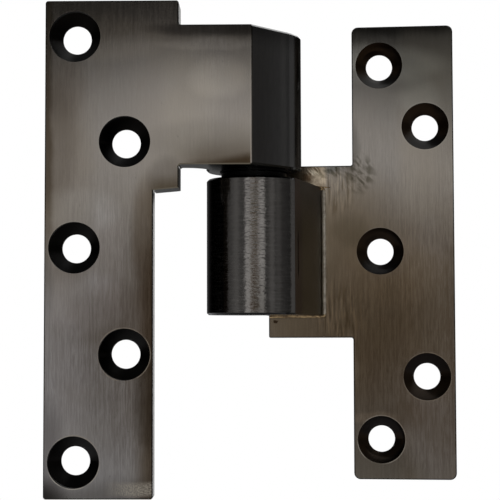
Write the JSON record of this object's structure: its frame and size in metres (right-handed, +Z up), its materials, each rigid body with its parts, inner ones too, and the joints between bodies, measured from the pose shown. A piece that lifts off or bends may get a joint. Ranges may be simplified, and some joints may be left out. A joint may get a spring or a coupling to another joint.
{
  "type": "offset pivot hinge",
  "caption": "Offset pivot hinge: a wide door leaf whose arm ends in a round knuckle turns on a thrust bearing over the barrel of a narrow jamb leaf; countersunk screw holes.",
  "frame": {"origin": "on the pivot axis, at the jamb leaf's mid height", "axes": "+Z up along the pivot axis, +Y from the countersunk side to the jamb leaf's back, +X along the jamb leaf away from the pivot axis"},
  "size_m": [0.1056, 0.0503, 0.128],
  "materials": {
    "leaf_steel": "bare steel, vertical brushing, slightly browned",
    "turned_steel": "turned bare steel with fine rings",
    "braze_bronze": "brazing bronze, uneven and darkened",
    "hard_steel": "ground and hardened bearing steel",
    "bush_bronze": "sintered bronze, smooth",
    "cage_steel": "dark pressed steel, oily",
    "black_steel": "black oxide"
  },
  "bodies": {
    "jamb_side": {"jamb_leaf": "leaf_steel", "barrel": "turned_steel", "braze_fillet": "braze_bronze", "pivot_pin": "hard_steel", "pin_set_screw": "black_steel", "lower_race": "hard_steel"},
    "door_side": {"door_leaf": "leaf_steel", "knuckle_bushing": "bush_bronze", "upper_race": "hard_steel"},
    "bearing_cage": {"roller_cage": "cage_steel", "bearing_rollers": "hard_steel"}
  },
  "joints": [
    {"name": "leaf_swing", "type": "hinge", "parent": "jamb_side", "child": "door_side", "pos_m": [0, 0, 0], "axis": [0, 0, 1], "range_deg": [-5, 175]},
    {"name": "cage_roll", "type": "hinge", "parent": "jamb_side", "child": "bearing_cage", "pos_m": [0, 0, 0.0191], "axis": [0, 0, 1], "range_deg": [-2.5, 87.5]}
  ],
  "couplings": [
    {"joint": "cage_roll", "follows": "leaf_swing", "ratio": 0.5}
  ]
}
